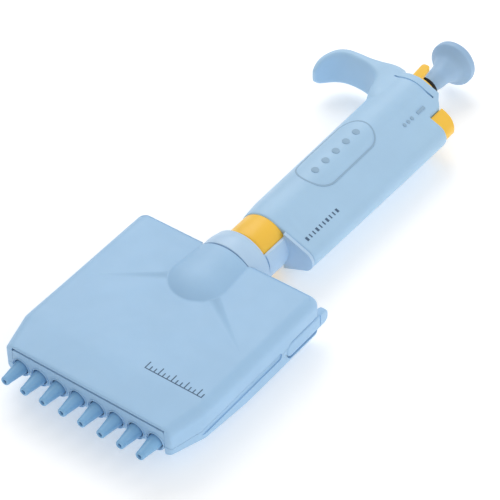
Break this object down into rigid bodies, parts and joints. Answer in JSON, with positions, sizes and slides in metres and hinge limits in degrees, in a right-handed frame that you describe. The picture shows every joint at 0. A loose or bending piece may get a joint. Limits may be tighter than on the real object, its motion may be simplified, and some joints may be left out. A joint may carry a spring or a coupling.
{
  "type": "multichannel pipette",
  "caption": "Hand-held multichannel pipette with a wide flat head of tapered nozzles in a row, a swivelling neck, a hooked handle, a plunger knob and a side ejector button.",
  "frame": {"origin": "Centre of the ejector comb's lower face, between the two middle nozzles, on the plunger and swivel axis.", "axes": "+X along the nozzle row towards the ejector button's side. +Y along the plunger axis from the nozzles to the plunger knob. +Z out of the front face. The pipette lies on its back with -Z down."},
  "size_m": [0.0865, 0.2566, 0.0278],
  "materials": {
    "body_plastic": "satin moulded light blue",
    "handle_plastic": "satin moulded light blue",
    "pale_plastic": "smooth pale lavender blue",
    "nozzle_plastic": "smooth deeper blue",
    "knob_plastic": "satin greyish blue",
    "yellow_plastic": "smooth warm yellow",
    "black_plastic": "matt black",
    "white_plastic": "matt natural white",
    "steel": "fine turned",
    "spring_steel": "drawn wire",
    "window": "clear moulded lens"
  },
  "bodies": {
    "handle": {"handle_shell": "handle_plastic", "handle_top_cap": "handle_plastic", "window_lens": "window", "neck_tube": "yellow_plastic", "neck_circlip": "spring_steel", "stem_collar": "black_plastic", "counter_bearing": "white_plastic", "carry_axle": "steel", "plunger_spring": "spring_steel", "blowout_spring": "spring_steel", "ejector_spring": "spring_steel"},
    "dial": {"volume_screw": "steel", "digit_ring_ones": "white_plastic"},
    "tens_wheel": {"digit_ring_tens": "white_plastic"},
    "hundreds_wheel": {"digit_ring_hundreds": "white_plastic"},
    "pinion_one": {"carry_pinion_1": "black_plastic"},
    "pinion_two": {"carry_pinion_2": "black_plastic"},
    "nut": {"stop_nut": "steel"},
    "plunger": {"plunger_knob": "knob_plastic", "plunger_rod": "steel"},
    "blowout_stop": {"blowout_washer": "steel"},
    "lock": {"volume_lock_ring": "yellow_plastic"},
    "ejector": {"ejector_button": "yellow_plastic", "ejector_rod": "steel", "ejector_arm": "pale_plastic"},
    "head": {"head_front_shell": "body_plastic", "head_rear_shell": "body_plastic", "neck_collar": "pale_plastic", "swivel_bush": "white_plastic", "cylinder_block": "white_plastic", "side_latch_left": "body_plastic", "side_latch_right": "body_plastic", "guide_pin_left": "steel", "guide_pin_right": "steel", "return_spring_left": "spring_steel", "return_spring_right": "spring_steel", "shell_screw_1": "steel", "shell_screw_2": "steel", "shell_screw_3": "steel", "shell_screw_4": "steel", "nozzle_1": "nozzle_plastic", "nozzle_2": "nozzle_plastic", "nozzle_3": "nozzle_plastic", "nozzle_4": "nozzle_plastic", "nozzle_5": "nozzle_plastic", "nozzle_6": "nozzle_plastic", "nozzle_7": "nozzle_plastic", "nozzle_8": "nozzle_plastic"},
    "comb": {"ejector_comb": "body_plastic", "ejector_frame": "pale_plastic"},
    "carriage": {"piston_carrier": "white_plastic", "carrier_cap": "steel", "piston_1": "steel", "piston_2": "steel", "piston_3": "steel", "piston_4": "steel", "piston_5": "steel", "piston_6": "steel", "piston_7": "steel", "piston_8": "steel"}
  },
  "joints": [
    {"name": "volume_turn", "type": "hinge", "parent": "handle", "child": "dial", "pos_m": [0, 0.18, 0], "axis": [0, 1, 0], "range_deg": [-1620, 1620]},
    {"name": "plunger_press", "type": "slide", "parent": "dial", "child": "plunger", "axis": [0, -1, 0], "range_m": [0, 0.011], "deforming": ["plunger_spring"]},
    {"name": "blowout_press", "type": "slide", "parent": "handle", "child": "blowout_stop", "axis": [0, -1, 0], "range_m": [0, 0.002], "deforming": ["blowout_spring"]},
    {"name": "stop_nut_travel", "type": "slide", "parent": "handle", "child": "nut", "axis": [0, 1, 0], "range_m": [-0.0045, 0.0045]},
    {"name": "tens_turn", "type": "hinge", "parent": "handle", "child": "tens_wheel", "pos_m": [0, 0.186, 0], "axis": [0, 1, 0], "range_deg": [-324, 324]},
    {"name": "hundreds_turn", "type": "hinge", "parent": "handle", "child": "hundreds_wheel", "pos_m": [0, 0.191, 0], "axis": [0, 1, 0], "range_deg": [-32.4, 32.4]},
    {"name": "pinion_one_spin", "type": "hinge", "parent": "handle", "child": "pinion_one", "pos_m": [0.0088, 0.184, 0], "axis": [0, 1, 0], "range_deg": [-810, 810]},
    {"name": "pinion_two_spin", "type": "hinge", "parent": "handle", "child": "pinion_two", "pos_m": [0.0088, 0.189, 0], "axis": [0, 1, 0], "range_deg": [-81, 81]},
    {"name": "lock_turn", "type": "hinge", "parent": "handle", "child": "lock", "pos_m": [0, 0.2155, 0], "axis": [0, 1, 0], "range_deg": [0, 35]},
    {"name": "ejector_press", "type": "slide", "parent": "handle", "child": "ejector", "axis": [0, -1, 0], "range_m": [0, 0.0055], "deforming": ["ejector_spring"]},
    {"name": "head_swivel", "type": "hinge", "parent": "handle", "child": "head", "pos_m": [0, 0.06, 0], "axis": [0, 1, 0], "continuous": true},
    {"name": "comb_slide", "type": "slide", "parent": "head", "child": "comb", "axis": [0, -1, 0], "range_m": [0, 0.0055]},
    {"name": "carriage_slide", "type": "slide", "parent": "head", "child": "carriage", "axis": [0, -1, 0], "range_m": [0, 0.011], "deforming": ["return_spring_left", "return_spring_right"]}
  ],
  "couplings": [
    {"joint": "volume_turn", "follows": "stop_nut_travel", "rad_per_m": 6283.2},
    {"joint": "tens_turn", "follows": "stop_nut_travel", "rad_per_m": 1256.6},
    {"joint": "hundreds_turn", "follows": "stop_nut_travel", "rad_per_m": 125.66},
    {"joint": "pinion_one_spin", "follows": "stop_nut_travel", "rad_per_m": -3141.6},
    {"joint": "pinion_two_spin", "follows": "stop_nut_travel", "rad_per_m": -314.16},
    {"joint": "comb_slide", "follows": "ejector_press", "ratio": 1},
    {"joint": "carriage_slide", "follows": "plunger_press", "ratio": 1}
  ]
}
